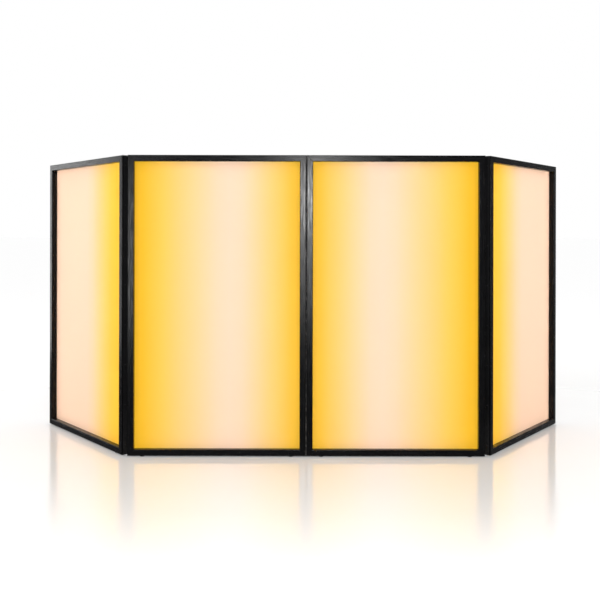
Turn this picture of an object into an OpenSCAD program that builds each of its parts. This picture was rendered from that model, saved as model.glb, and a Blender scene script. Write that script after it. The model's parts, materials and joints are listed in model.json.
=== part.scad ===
// Folding welding screen: four framed panels on three continuous hinges.
// The two middle panels stand in line and the two wings fold back behind them.
// Millimetres, +Z up, fronts face -Y, origin at the middle of the footprint on the floor.

/* [Panels] */
// Width of one framed panel
panel_w = 722; // [300:1:1200]
// Height of one frame, without its glides
frame_h = 1216; // [500:1:2200]
// Outside size of the square frame tube
tube = 25.4; // [24:0.1:40]
// Wall thickness of the frame tube
tube_wall = 1.5; // [1.2:0.1:2]
// Outside corner radius of the frame tube
tube_r = 2.5; // [2.1:0.1:3]

/* [Standing pose] */
// Angle by which the left wing is folded back
left_fold = 50.5; // [0:0.5:90]
// Angle by which the right wing is folded back
right_fold = 52.5; // [0:0.5:90]

/* [Sheet and clamp strips] */
// Thickness of the tinted sheet
sheet_t = 0.5; // [0.3:0.1:1]
// Distance of the sheet and strips from the frame's outer edge
strip_inset = 3; // [3:0.1:4]
// Width of a clamp strip
strip_w = 19; // [14:0.5:19.5]
// Thickness of a clamp strip
strip_t = 1.2; // [0.8:0.1:2]
// Gap between the ends of neighbouring strips
strip_gap = 0.5; // [0.2:0.1:2]

/* [Strip screws] */
// Screws in each top and bottom strip
end_screws = 5; // [2:1:9]
// Screws in each side strip
side_screws = 7; // [2:1:15]
// Distance from a strip's end to its first screw
screw_margin = 18; // [8:1:40]
// Shank diameter of a strip screw
screw_d = 4; // [3:0.5:4.5]
// Shank length of a strip screw, under its head
screw_l = 8; // [5:0.5:10]
// Head diameter of a strip screw
head_d = 8.5; // [6:0.5:10]
// Head height of a strip screw
head_h = 1.3; // [0.8:0.1:2]

/* [Hinges] */
// Diameter of a hinge pin
pin_d = 3; // [2.4:0.1:4]
// Radial running clearance between a pin and its knuckles
pin_clear = 0.05; // [0.02:0.01:0.1]
// Thickness of a hinge leaf
leaf_t = 1; // [0.8:0.1:1.2]
// Width of a leaf, from the pin's axis to its edge
leaf_w = 22; // [19:0.5:24]
// Gap between the two leaves of a closed hinge
leaf_gap = 0.3; // [0.2:0.1:1]
// Knuckles along one hinge, an odd number
knuckles = 31; // [11:2:41]
// Gap between neighbouring knuckles
knuckle_gap = 0.4; // [0.3:0.1:1]
// Space from a turning barrel to the nearest face
barrel_clear = 0.3; // [0.3:0.1:1]
// Distance of a hinge's ends from the frame's ends
hinge_inset = 1; // [0.5:0.5:60]
// Space between the facing screw heads of a wing that is folded flat
fold_gap = 1.6; // [0.6:0.1:4]
// Screws in each hinge leaf
hinge_screws = 8; // [3:1:14]
// Distance from a hinge's end to its first screw
hinge_screw_margin = 40; // [15:1:80]
// Shank diameter of a hinge screw
hinge_screw_d = 3; // [2:0.5:3.5]
// Shank length of a hinge screw, under its leaf
hinge_screw_l = 7; // [4:0.5:7.5]
// Distance from the pin's axis to the line of screws
leaf_screw_line = 14; // [11:0.5:15]

/* [Floor glides] */
// Height of a glide under the frame
foot_h = 3; // [2:0.5:10]
// Diameter of a glide
foot_d = 19; // [12:0.5:20]
// Distance of a glide from the panel's edge
foot_inset = 60; // [30:1:140]
// Stem diameter of a glide
stem_d = 8; // [5:0.5:9]
// Stem length of a glide
stem_l = 10; // [6:0.5:12]

/* [Hidden] */
$fn = 48;
// Radial clearance of screws and stems in their holes
hole_clear = 0.05;
// How far a cut runs past the face that it opens
over = 1;

PANELS = ["left_wing", "left_middle", "right_middle", "right_wing"];
PANEL_PIECES = [
    "top_rail", "bottom_rail", "inner_stile", "outer_stile", "sheet",
    "top_strip", "bottom_strip", "inner_strip", "outer_strip", "strip_screws", "feet"
];
WING_HINGES = ["left_hinge", "right_hinge"];
WING_HINGE_PIECES = ["middle_leaf", "wing_leaf", "pin", "middle_screws", "wing_screws"];
CENTRE_HINGE_PIECES = ["left_leaf", "right_leaf", "pin", "left_screws", "right_screws"];

FRAME_COLOUR = [0.06, 0.06, 0.065];
SHEET_COLOUR = [0.99, 0.80, 0.28, 0.75];
SCREW_COLOUR = [0.35, 0.35, 0.36];
GLIDE_COLOUR = [0.1, 0.1, 0.1];

stile_gap = 2 * leaf_t + leaf_gap;
pin_r = pin_d / 2;
barrel_r = pin_r + pin_clear + leaf_t;
// what stands up behind the frame tubes
sheet_back = tube + sheet_t;
strip_back = sheet_back + strip_t;
head_back = strip_back + head_h;
strip_mid = strip_inset + strip_w / 2;
// hinge axes, in front of the frame's front or behind its rear face
front_off = barrel_r + barrel_clear;
rear_off = max(head_back - tube + fold_gap / 2, front_off);
hinge_len = frame_h - 2 * hinge_inset;
knuckle_l = hinge_len / knuckles;
hinge_head_r = hinge_screw_d / 2 + leaf_t;
// where the hinge screws cross the stiles' side faces
front_screw_y = leaf_screw_line - front_off;
rear_screw_y = tube + rear_off - leaf_screw_line;
wing_x = stile_gap + panel_w;

function spaced(n, first, last) = [for (i = [0:n - 1]) first + i * (last - first) / (n - 1)];
end_screw_x = spaced(end_screws, strip_inset + screw_margin, panel_w - strip_inset - screw_margin);
side_strip_z = strip_inset + strip_w + strip_gap;
side_screw_z = spaced(side_screws, side_strip_z + screw_margin, frame_h - side_strip_z - screw_margin);
hinge_screw_z = spaced(hinge_screws, hinge_screw_margin, hinge_len - hinge_screw_margin);

// The outline points of a wing that can reach furthest: [out from its hinge, back from its front, radius]
WING_TIPS = [
    [panel_w - tube_r, tube_r, tube_r],
    [panel_w - tube_r, tube - tube_r, tube_r],
    [panel_w - strip_inset, strip_back, 0],
    [panel_w - strip_mid + head_d / 2, head_back, 0]
];
// A tip's place from the wing hinge's axis, for a wing that is folded back by an angle
function tip_x(p, fold) = (p[0] + stile_gap / 2) * cos(fold) - (p[1] - tube - rear_off) * sin(fold) + p[2];
function tip_y(p, fold) = (p[0] + stile_gap / 2) * sin(fold) + (p[1] - tube - rear_off) * cos(fold) + p[2];
function half_width(fold) = wing_x + max([for (p = WING_TIPS) tip_x(p, fold)]);
function wing_back(fold) = tube + rear_off + max([for (p = WING_TIPS) tip_y(p, fold)]);
front_y = -front_off - barrel_r;
back_y = max(wing_back(left_fold), wing_back(right_fold), tube + rear_off + barrel_r);
middle_x = (half_width(right_fold) - half_width(left_fold)) / 2;
middle_y = (front_y + back_y) / 2;

function is_wing(panel) = panel == "left_wing" || panel == "right_wing";

// ---- places ----

module on_floor() {
    translate([-middle_x, -middle_y, foot_h]) children();
}

// Coordinates of a hinge: its pin stands on the origin and its closed leaves run towards -Y
module at_wing_hinge() {
    translate([wing_x, tube + rear_off, 0]) children();
}

// A panel's coordinates: x from its inner edge outwards, y from its front backwards, z up from its lower edge
module in_panel(panel) {
    is_left = panel == "left_wing" || panel == "left_middle";
    fold = is_left ? left_fold : right_fold;
    on_floor()
        mirror([is_left ? 1 : 0, 0, 0])
            if (is_wing(panel))
                at_wing_hinge()
                    rotate([0, 0, fold])
                        translate([stile_gap / 2, -tube - rear_off, 0]) children();
            else
                translate([stile_gap / 2, 0, 0]) children();
}

module in_hinge(hinge, fold = 0) {
    on_floor()
        if (hinge == "centre_hinge")
            translate([0, -front_off, hinge_inset]) mirror([0, 1, 0]) children();
        else
            mirror([hinge == "left_hinge" ? 1 : 0, 0, 0])
                at_wing_hinge()
                    translate([0, 0, hinge_inset]) rotate([0, 0, fold]) children();
}

// ---- frame ----

module rounded_square(size, r) {
    translate([r, 0]) square([size - 2 * r, size]);
    translate([0, r]) square([size, size - 2 * r]);
    for (x = [r, size - r], y = [r, size - r]) translate([x, y]) circle(r);
}

module tube_profile() {
    difference() {
        rounded_square(tube, tube_r);
        translate([tube_wall, tube_wall])
            rounded_square(tube - 2 * tube_wall, tube_r - tube_wall);
    }
}

// A prism along Y whose outline is given in X and Z
module across_depth(outline) {
    translate([0, tube + over, 0])
        rotate([90, 0, 0]) linear_extrude(tube + 2 * over) polygon(outline);
}

module drill_back(x, z, d) {
    translate([x, tube - tube_wall - over, z])
        rotate([-90, 0, 0]) cylinder(d = d + 2 * hole_clear, h = tube_wall + sheet_t + strip_t + 2 * over);
}

// A rail along the lower edge of a panel, mitred at both ends
module rail() {
    intersection() {
        rotate([90, 0, 90]) linear_extrude(panel_w) tube_profile();
        across_depth([[0, 0], [panel_w, 0], [panel_w - tube, tube], [tube, tube]]);
    }
}

module bottom_rail() {
    color(FRAME_COLOUR)
        difference() {
            rail();
            for (x = end_screw_x) drill_back(x, strip_mid, screw_d);
            for (x = [foot_inset, panel_w - foot_inset])
                translate([x, tube / 2, -over])
                    cylinder(d = stem_d + 2 * hole_clear, h = tube_wall + 2 * over);
        }
}

module top_rail() {
    color(FRAME_COLOUR)
        translate([0, 0, frame_h])
            mirror([0, 0, 1])
                difference() {
                    rail();
                    for (x = end_screw_x) drill_back(x, strip_mid, screw_d);
                }
}

// A stile along the inner edge of a panel; hinge_y is the line of hinge screws on its side face
module stile(hinge_y = undef) {
    color(FRAME_COLOUR)
        difference() {
            intersection() {
                linear_extrude(frame_h) tube_profile();
                across_depth([[0, 0], [tube, tube], [tube, frame_h - tube], [0, frame_h]]);
            }
            for (z = side_screw_z) drill_back(strip_mid, z, screw_d);
            if (hinge_y != undef)
                for (z = hinge_screw_z)
                    translate([-over, hinge_y, hinge_inset + z])
                        rotate([0, 90, 0])
                            cylinder(d = hinge_screw_d + 2 * hole_clear, h = tube_wall + 2 * over);
        }
}

// A wing hangs by its inner stile. A middle panel has a hinge on each side.
module inner_stile(panel) {
    stile(is_wing(panel) ? rear_screw_y : front_screw_y);
}

module outer_stile(panel) {
    translate([panel_w, 0, 0])
        mirror([1, 0, 0]) stile(is_wing(panel) ? undef : rear_screw_y);
}

// ---- sheet and clamp strips ----

module drill_all() {
    for (x = end_screw_x, z = [strip_mid, frame_h - strip_mid]) drill_back(x, z, screw_d);
    for (x = [strip_mid, panel_w - strip_mid], z = side_screw_z) drill_back(x, z, screw_d);
}

module sheet() {
    color(SHEET_COLOUR)
        difference() {
            translate([strip_inset, tube, strip_inset])
                cube([panel_w - 2 * strip_inset, sheet_t, frame_h - 2 * strip_inset]);
            drill_all();
        }
}

module end_strip(z) {
    color(FRAME_COLOUR)
        difference() {
            translate([strip_inset, sheet_back, z - strip_w / 2])
                cube([panel_w - 2 * strip_inset, strip_t, strip_w]);
            for (x = end_screw_x) drill_back(x, z, screw_d);
        }
}

module side_strip(x) {
    color(FRAME_COLOUR)
        difference() {
            translate([x - strip_w / 2, sheet_back, side_strip_z])
                cube([strip_w, strip_t, frame_h - 2 * side_strip_z]);
            for (z = side_screw_z) drill_back(x, z, screw_d);
        }
}

module strip_screw(x, z) {
    translate([x, strip_back, z])
        rotate([-90, 0, 0]) {
            translate([0, 0, -screw_l]) cylinder(d = screw_d, h = screw_l);
            cylinder(d1 = head_d, d2 = head_d - head_h, h = head_h);
        }
}

module strip_screws() {
    color(SCREW_COLOUR) {
        for (x = end_screw_x, z = [strip_mid, frame_h - strip_mid]) strip_screw(x, z);
        for (x = [strip_mid, panel_w - strip_mid], z = side_screw_z) strip_screw(x, z);
    }
}

// ---- hinges ----

// A leaf on the +X side of its pin. first is 0 or 1, the first knuckle that it carries,
// and the leaf that carries the end knuckles grips the pin there.
module leaf(first) {
    inner_x = leaf_gap / 2;
    own = [first:2:knuckles - 1];
    color(FRAME_COLOUR)
        difference() {
            union() {
                translate([inner_x, -leaf_w, 0])
                    cube([leaf_t, leaf_w - barrel_r - barrel_clear, hinge_len]);
                for (k = own)
                    translate([0, 0, k * knuckle_l + knuckle_gap / 2]) {
                        translate([inner_x, -leaf_w / 2, 0])
                            cube([leaf_t, leaf_w / 2, knuckle_l - knuckle_gap]);
                        cylinder(r = barrel_r, h = knuckle_l - knuckle_gap);
                    }
            }
            leaf_bore(first == 0);
            for (z = hinge_screw_z)
                translate([0, -leaf_screw_line, z]) hinge_screw_shape(hole_clear);
        }
}

module leaf_bore(grips_pin) {
    end_l = knuckle_l - knuckle_gap;
    if (grips_pin) {
        translate([0, 0, end_l]) cylinder(r = pin_r + pin_clear, h = hinge_len - 2 * end_l);
        translate([0, 0, -over]) cylinder(r = pin_r, h = hinge_len + 2 * over);
    } else {
        translate([0, 0, -over]) cylinder(r = pin_r + pin_clear, h = hinge_len + 2 * over);
    }
}

// A countersunk screw through a leaf on the +X side, or with a clearance its hole
module hinge_screw_shape(clear = 0) {
    shank_r = hinge_screw_d / 2 + clear;
    rotate([0, 90, 0]) {
        translate([0, 0, leaf_gap / 2]) {
            cylinder(r1 = hinge_head_r + clear, r2 = shank_r, h = leaf_t);
            cylinder(r = shank_r, h = leaf_t + hinge_screw_l);
        }
    }
}

module leaf_screws() {
    color(SCREW_COLOUR)
        for (z = hinge_screw_z)
            translate([0, -leaf_screw_line, z]) hinge_screw_shape();
}

module pin() {
    color(SCREW_COLOUR)
        translate([0, 0, knuckle_gap / 2]) cylinder(r = pin_r, h = hinge_len - knuckle_gap);
}

module other_side() {
    mirror([1, 0, 0]) children();
}

// ---- glides ----

module foot() {
    translate([0, 0, -foot_h]) cylinder(d = foot_d, h = foot_h);
    cylinder(d = stem_d, h = stem_l);
}

module feet() {
    color(GLIDE_COLOUR)
        for (x = [foot_inset, panel_w - foot_inset]) translate([x, tube / 2, 0]) foot();
}

// ---- nodes ----

for (p = PANELS) {
    in_panel(p) top_rail();
    in_panel(p) bottom_rail();
    in_panel(p) inner_stile(p);
    in_panel(p) outer_stile(p);
    in_panel(p) sheet();
    in_panel(p) end_strip(frame_h - strip_mid);
    in_panel(p) end_strip(strip_mid);
    in_panel(p) side_strip(strip_mid);
    in_panel(p) side_strip(panel_w - strip_mid);
    in_panel(p) strip_screws();
    in_panel(p) feet();
}
for (h = WING_HINGES) {
    fold = h == "left_hinge" ? left_fold : right_fold;
    in_hinge(h) other_side() leaf(0);
    in_hinge(h, fold) leaf(1);
    in_hinge(h) pin();
    in_hinge(h) other_side() leaf_screws();
    in_hinge(h, fold) leaf_screws();
}
in_hinge("centre_hinge") other_side() leaf(0);  // centre_hinge_left_leaf
in_hinge("centre_hinge") leaf(1);  // centre_hinge_right_leaf
in_hinge("centre_hinge") pin();  // centre_hinge_pin
in_hinge("centre_hinge") other_side() leaf_screws();  // centre_hinge_left_screws
in_hinge("centre_hinge") leaf_screws();  // centre_hinge_right_screws
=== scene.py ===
"""Folding welding screen: the looks of four framed, tinted panels on three continuous hinges."""

import json
import math

import bpy
from mathutils import Matrix, Vector

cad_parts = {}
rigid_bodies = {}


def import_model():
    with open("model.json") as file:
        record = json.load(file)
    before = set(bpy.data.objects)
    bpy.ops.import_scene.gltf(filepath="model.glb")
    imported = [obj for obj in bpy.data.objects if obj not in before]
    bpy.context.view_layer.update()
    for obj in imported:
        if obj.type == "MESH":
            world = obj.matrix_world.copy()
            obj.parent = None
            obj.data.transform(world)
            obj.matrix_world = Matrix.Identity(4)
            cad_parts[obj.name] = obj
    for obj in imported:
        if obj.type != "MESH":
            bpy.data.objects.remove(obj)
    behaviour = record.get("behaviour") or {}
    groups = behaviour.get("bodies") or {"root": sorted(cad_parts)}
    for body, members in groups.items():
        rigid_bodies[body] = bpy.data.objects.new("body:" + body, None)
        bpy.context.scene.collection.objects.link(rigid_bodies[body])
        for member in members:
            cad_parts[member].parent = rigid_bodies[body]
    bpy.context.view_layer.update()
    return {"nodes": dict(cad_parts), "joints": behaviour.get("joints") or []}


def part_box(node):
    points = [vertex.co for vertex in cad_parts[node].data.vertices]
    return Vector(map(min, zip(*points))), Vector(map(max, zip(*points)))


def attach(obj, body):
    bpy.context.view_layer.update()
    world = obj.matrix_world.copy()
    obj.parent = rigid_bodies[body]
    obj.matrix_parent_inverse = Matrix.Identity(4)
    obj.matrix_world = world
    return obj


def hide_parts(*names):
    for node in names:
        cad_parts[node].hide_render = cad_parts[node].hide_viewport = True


bl_info = {
    "name": "Folding welding screen",
    "version": (1, 0, 0),
    "blender": (4, 5, 0),
    "location": "View3D > Sidebar > Screen",
    "description": "Models the finished pieces of a folding welding screen round its packed frame",
    "category": "Add Mesh",
}

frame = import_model()

MM = 0.001
JOINTS = {joint["name"]: joint for joint in frame["joints"]}
PANELS = ("left_wing", "left_middle", "right_middle", "right_wing")
WINGS = ("left_wing", "right_wing")

# How far a shank or a stem reaches into its head or foot.
OVERLAP = 0.1 * MM
# How far along the grain of one copy lies from the next one's.
GRAIN_STEP = 0.37
# Linear colours of steel where the black has rubbed off, which along the wings' folds also serves as a
# painted highlight, of settled dust and of drawn wire.
WORN_AND_HIGHLIGHT_TONE = (0.11, 0.105, 0.1)
DUST_TONE = (0.2, 0.19, 0.17)
WIRE_TONE = (0.42, 0.42, 0.43)


# ---- measures taken from the frame ----

LOW, HIGH = (Vector(corner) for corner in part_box("right_middle_bottom_rail"))
PANEL_W = HIGH.x - LOW.x
TUBE = HIGH.y - LOW.y
FRAME_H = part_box("right_middle_top_rail")[1][2] - LOW.z
HALF_GAP = (LOW.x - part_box("left_middle_bottom_rail")[1][0]) / 2
HINGE_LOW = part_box("centre_hinge_left_leaf")[0][2]
HINGE_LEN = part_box("centre_hinge_left_leaf")[1][2] - HINGE_LOW
PIN_R = (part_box("centre_hinge_pin")[1][0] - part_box("centre_hinge_pin")[0][0]) / 2
BARREL_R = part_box("centre_hinge_left_leaf")[1][0] - JOINTS["centre_fold"]["pos_m"][0]
LEAF_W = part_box("centre_hinge_left_leaf")[1][1] - JOINTS["centre_fold"]["pos_m"][1]


def wing_turn(side):
    """The turn about its hinge that carries a wing from in line with the middle to where it stands."""
    joint = JOINTS[side + "_fold"]
    pivot = Vector(joint["pos_m"])
    folded = -math.radians(joint["range_deg"][0]) * joint["axis"][2]
    turn = Matrix.Rotation(folded, 4, "Z")
    return Matrix.Translation(pivot) @ turn @ Matrix.Translation(-pivot)


def panel_places():
    """For each panel, what carries a piece from panel coordinates to where the panel stands.

    Panel coordinates run x from its left edge, y from its front and z from its lower edge.
    """
    starts = {
        "left_wing": JOINTS["left_fold"]["pos_m"][0] - HALF_GAP - PANEL_W,
        "left_middle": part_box("left_middle_bottom_rail")[0][0],
        "right_middle": LOW.x,
        "right_wing": JOINTS["right_fold"]["pos_m"][0] + HALF_GAP,
    }
    places = {name: Matrix.Translation((x, LOW.y, LOW.z)) for name, x in starts.items()}
    for side in ("left", "right"):
        wing = side + "_wing"
        places[wing] = wing_turn(side) @ places[wing]
    return places


PLACES = panel_places()


def hinge_place(name, turn):
    """Carries a leaf from hinge coordinates to its hinge.

    In hinge coordinates the pin stands on the origin, and the leaf is on the +X side and runs
    towards -Y from it, its lower end at z 0. The turn is applied first, about mid height.
    """
    joint = JOINTS[name]
    centre = Vector((joint["pos_m"][0], joint["pos_m"][1], HINGE_LOW + HINGE_LEN / 2))
    return Matrix.Translation(centre) @ turn @ Matrix.Translation((0, 0, -HINGE_LEN / 2))


def half_turn(axis):
    return Matrix.Rotation(math.pi, 4, axis)


def wing_angle(side):
    return wing_turn(side).to_3x3().to_4x4()


# For each leaf: its body, its place, and whether it carries the end knuckles.
LEAVES = {
    "left_hinge_middle_leaf": ("left_middle", hinge_place("left_fold", Matrix()), True),
    "left_hinge_wing_leaf": (
        "left_wing", hinge_place("left_fold", wing_angle("left") @ half_turn("Y")), False
    ),
    "right_hinge_middle_leaf": ("right_middle", hinge_place("right_fold", half_turn("Y")), True),
    "right_hinge_wing_leaf": ("right_wing", hinge_place("right_fold", wing_angle("right")), False),
    "centre_hinge_left_leaf": ("left_middle", hinge_place("centre_fold", half_turn("Z")), True),
    "centre_hinge_right_leaf": ("right_middle", hinge_place("centre_fold", half_turn("X")), False),
}
PINS = {
    "left_hinge_pin": ("left_middle", "left_fold"),
    "right_hinge_pin": ("right_middle", "right_fold"),
    "centre_hinge_pin": ("left_middle", "centre_fold"),
}


# ---- settings ----


def length(name, description, default_mm):
    """A length setting, given in millimetres and kept in metres."""
    return bpy.props.FloatProperty(
        name=name,
        description=description,
        default=default_mm * MM,
        unit="LENGTH",
        subtype="DISTANCE",
        precision=5,
    )


def share(name, description, default):
    return bpy.props.FloatProperty(
        name=name, description=description, default=default, min=0.0, max=1.0, subtype="FACTOR"
    )


def number(name, description, default):
    return bpy.props.IntProperty(name=name, description=description, default=default, min=1)


def power(name, description, default):
    """A lamp's power, in watts."""
    return bpy.props.FloatProperty(
        name=name, description=description, default=default, min=0.0, unit="POWER"
    )


def strength(name, description, default):
    """How bright a part of the room is, with 1 for white."""
    return bpy.props.FloatProperty(name=name, description=description, default=default, min=0.0)


def colour(name, description, red, green, blue):
    """A colour setting, given as sRGB bytes and kept linear."""
    return bpy.props.FloatVectorProperty(
        name=name,
        description=description,
        default=[linear(value) for value in (red, green, blue)],
        size=3,
        min=0.0,
        max=1.0,
        subtype="COLOR",
    )


def linear(value):
    """A linear light level from an sRGB byte."""
    value /= 255
    return value / 12.92 if value <= 0.04045 else ((value + 0.055) / 1.055) ** 2.4


def display(level):
    """An sRGB byte from a linear light level."""
    return 255 * (level * 12.92 if level <= 0.0031308 else 1.055 * level ** (1 / 2.4) - 0.055)


class TubeSettings(bpy.types.PropertyGroup):
    corner: length("Corner radius", "Outside corner radius of the square tube", 2.5)
    wall: length("Wall", "Wall thickness of the square tube", 1.5)
    groove: length("Mitre groove", "Width of the open groove on each side of a mitre", 0.5)
    black: colour("Powder coat", "Colour of the powder coat on the tubes", 6, 6, 7)
    roughness: share("Roughness", "Roughness of the powder coat", 0.2)
    dust: share("Dust", "How dusty the tubes are on top and near the floor", 0.015)
    rubbed: share("Rubbed edges", "How rubbed the edges of most tubes are", 0.12)
    # Along the wings' folds the rubbed paint is made strong: partly wear, mostly a painted highlight on the
    # edge.
    handled: share("Handled edges", "How rubbed the edges are where a wing folds back", 0.9)


class SheetSettings(bpy.types.PropertyGroup):
    amber: colour("Amber", "Deepest tint of the sheets", 253, 210, 57)
    # The palest colour is a painted highlight across each sheet's middle, not a tint of the sheet itself.
    cream: colour("Cream", "Palest tint of the sheets", 254, 228, 205)
    billow: length("Billow", "How far a taut sheet bows back at its middle", 1.2)
    pucker: length("Pucker", "Height of the tension ripples between the screws", 0.35)
    reach: length("Pucker reach", "How far the tension ripples run in from the frame", 45)
    roughness: share("Roughness", "Roughness of the sheets", 0.9)
    clear: share("Transmission", "Share of the light that passes through a sheet, scattered", 0.6)
    cells_across: number("Cells across", "Mesh cells across a sheet", 72)
    cells_up: number("Cells up", "Mesh cells up a sheet", 122)
    ripples_up: number("Ripples up", "Tension ripples along an upright edge", 6)
    ripples_across: number("Ripples across", "Tension ripples along a level edge", 4)


class StripSettings(bpy.types.PropertyGroup):
    edge: length("Edge", "Rounding of the flat bars' edges", 0.3)
    black: colour("Powder coat", "Colour of the powder coat on the flat bars", 18, 18, 19)
    roughness: share("Roughness", "Roughness of the powder coat on the flat bars", 0.36)
    dust: share("Dust", "How dusty the flat bars are on top and near the floor", 0.2)


class ScrewSettings(bpy.types.PropertyGroup):
    recess_w: length("Recess width", "Length of one bar of the cross recess", 4.4)
    recess_t: length("Recess bar", "Width of one bar of the cross recess", 1.0)
    recess_d: length("Recess depth", "Depth of the cross recess", 0.7)
    shank_r: length("Shank radius", "Radius of a strip screw's shank", 2)
    point: length("Point", "Chamfer at a strip screw's end", 0.6)
    small_w: length("Small recess width", "Length of one bar of a hinge screw's cross recess", 2.6)
    small_t: length("Small recess bar", "Width of one bar of a hinge screw's cross recess", 0.7)
    small_d: length("Small recess depth", "Depth of a hinge screw's cross recess", 0.6)
    rim: length("Rim", "Rounding of a hinge screw's rim", 0.12)
    steel: colour("Steel", "Colour of the plated screws", 120, 120, 124)


class HingeSettings(bpy.types.PropertyGroup):
    knuckles: number("Knuckles", "Knuckles along one hinge, an odd number", 31)
    knuckle_gap: length("Knuckle gap", "Gap between neighbouring knuckles", 0.4)
    clearance: length("Barrel clearance", "Space from the barrel to the edge of the other leaf", 0.3)
    bore: length("Bore clearance", "Radial clearance of the pin in its knuckles", 0.05)
    plate_edge: length("Plate edge", "Rounding of a leaf's plate", 0.2)
    knuckle_edge: length("Knuckle edge", "Rounding of a knuckle's ends", 0.25)
    pin_edge: length("Pin edge", "Rounding of a pin's ends", 0.5)
    black: colour("Finish", "Colour of the blackened leaves", 15, 15, 16)
    roughness: share("Roughness", "Roughness of the blackened leaves", 0.32)
    dust: share("Dust", "How dusty the leaves are on top and near the floor", 0.1)
    rubbed: share("Rubbed barrels", "How rubbed the barrels are", 0.4)


class GlideSettings(bpy.types.PropertyGroup):
    edge: length("Edge", "Rounding of a glide's lower edge", 0.8)
    upper_edge: length("Upper edge", "Chamfer of a glide's upper edge", 0.3)
    stem_r: length("Stem radius", "Radius of a glide's stem", 4)
    stem_edge: length("Stem edge", "Rounding of a stem's top", 1)
    black: colour("Nylon", "Colour of the moulded glides", 24, 24, 24)
    roughness: share("Roughness", "Roughness of the moulded glides", 0.55)
    dust: share("Dust", "How dusty the glides are", 0.3)


class StageSettings(bpy.types.PropertyGroup):
    floor_near: colour("Floor near", "Colour of the pale floor where it is polished", 232, 232, 232)
    floor_far: colour("Floor far", "Colour of the pale floor further away", 252, 252, 252)
    through: strength("Wall behind", "Strength of the white wall as the sheets let it through", 1.22)
    dim: share("Dim side", "Strength of the room's light low down in front and at the sides", 0.12)
    above: strength("Above", "Strength of the white ceiling", 1.1)
    mirror: length("Mirror", "Distance up to which the floor has its full polish", 700)
    polished: length("Polished", "Distance at which the floor's polish has faded", 1500)
    sides: power("Sides", "Power of each side softbox", 70)
    panel: power("Left panel", "Power of the soft panel far left, which the left wing mirrors", 20)
    lamp_back: length("Strips' distance", "How far the strip lamps stand in front", 3750)
    lamp_wide: length("Strips' width", "Width of each strip lamp", 120)
    key: power("Key", "Power that the strip lamps share, each taking its own part", 45)
    lens: bpy.props.FloatProperty(
        name="Lens", description="Focal length of the camera", default=50.03, unit="CAMERA"
    )
    shift: bpy.props.FloatProperty(name="Shift", description="Upward shift of the view", default=-0.115)
    roll: bpy.props.FloatProperty(
        name="Roll", description="Roll of the camera", default=math.radians(0.113), subtype="ANGLE"
    )
    back: length("Distance", "How far the camera stands in front of the middle of the footprint", 3664)
    aside: length("Sideways", "How far the camera stands to the right of the middle", -16.5)
    height: length("Height", "Height of the camera above the floor", 912.5)


SETTINGS = {
    "screen_tubes": TubeSettings,
    "screen_sheets": SheetSettings,
    "screen_strips": StripSettings,
    "screen_screws": ScrewSettings,
    "screen_hinges": HingeSettings,
    "screen_glides": GlideSettings,
    "screen_stage": StageSettings,
}


# ---- modelling by hand ----


def select_only(*pieces):
    """Leaves these objects selected, or none, and the first of them active."""
    bpy.ops.object.select_all(action="DESELECT")
    for piece in pieces:
        piece.select_set(True)
    if pieces:
        bpy.context.view_layer.objects.active = pieces[0]


def settle(piece, name):
    """Puts a piece's place into its mesh and names it."""
    select_only(piece)
    bpy.ops.object.transform_apply(location=True, rotation=True, scale=True)
    piece.name = name
    piece.data.name = name
    return piece


def block(name, low, high):
    """A box from its lowest to its highest corner."""
    low, high = Vector(low), Vector(high)
    select_only()
    bpy.ops.mesh.primitive_cube_add(size=1, location=(low + high) / 2, scale=high - low)
    return settle(bpy.context.object, name)


def rod(name, radius, start, end, sides):
    """A round rod between two points that lie along one axis."""
    start, end = Vector(start), Vector(end)
    select_only()
    bpy.ops.mesh.primitive_cylinder_add(
        vertices=sides, radius=radius, depth=(end - start).length, location=(start + end) / 2
    )
    made = bpy.context.object
    made.rotation_mode = "QUATERNION"
    made.rotation_quaternion = (end - start).to_track_quat("Z", "Y")
    return settle(made, name)


def choose(piece, kind, test):
    """Selects a piece's vertices, edges or faces whose points all pass a test, ready for edit mode."""
    select_only(piece)
    mesh = piece.data
    for group in (mesh.vertices, mesh.edges, mesh.polygons):
        group.foreach_set("select", [False] * len(group))
    if kind == "VERT":
        for vertex in mesh.vertices:
            vertex.select = test(vertex.co)
    else:
        for item in mesh.edges if kind == "EDGE" else mesh.polygons:
            item.select = test(*(mesh.vertices[i].co for i in item.vertices))
    bpy.context.tool_settings.mesh_select_mode = (kind == "VERT", kind == "EDGE", kind == "FACE")
    bpy.ops.object.mode_set(mode="EDIT")


def leave_edit():
    bpy.ops.object.mode_set(mode="OBJECT")


def near(a, b, within=1e-6):
    return abs(a - b) < within


def both_at(axis, level, within=1e-6):
    """A test for edges with both ends at a level along an axis."""
    return lambda *ends: all(near(getattr(end, axis), level, within) for end in ends)


def round_edges(piece, width, segments, test):
    """Bevels the edges whose two ends pass a test."""
    choose(piece, "EDGE", test)
    bpy.ops.mesh.bevel(offset=width, segments=segments, affect="EDGES")
    leave_edit()


def apply_modifier(piece, kind, **values):
    select_only(piece)
    modifier = piece.modifiers.new(kind.title(), kind)
    for key, value in values.items():
        setattr(modifier, key, value)
    bpy.ops.object.modifier_apply(modifier=modifier.name)


def smooth(piece, degrees=40):
    """Shades a piece smooth below an angle, keeping its large faces flat to the eye."""
    select_only(piece)
    bpy.ops.object.shade_smooth_by_angle(angle=math.radians(degrees))
    apply_modifier(piece, "WEIGHTED_NORMAL", mode="FACE_AREA", weight=100, keep_sharp=True)


def face_outwards(piece):
    """Joins doubled points and turns every face of a closed shape outwards."""
    select_only(piece)
    bpy.ops.object.mode_set(mode="EDIT")
    bpy.ops.mesh.select_all(action="SELECT")
    bpy.ops.mesh.remove_doubles(threshold=1e-6)
    bpy.ops.mesh.normals_make_consistent(inside=False)
    leave_edit()


def join(pieces, name):
    select_only(*pieces)
    if len(pieces) > 1:
        bpy.ops.object.join()
    joined = bpy.context.object
    joined.name = name
    joined.data.name = name
    return joined


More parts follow.
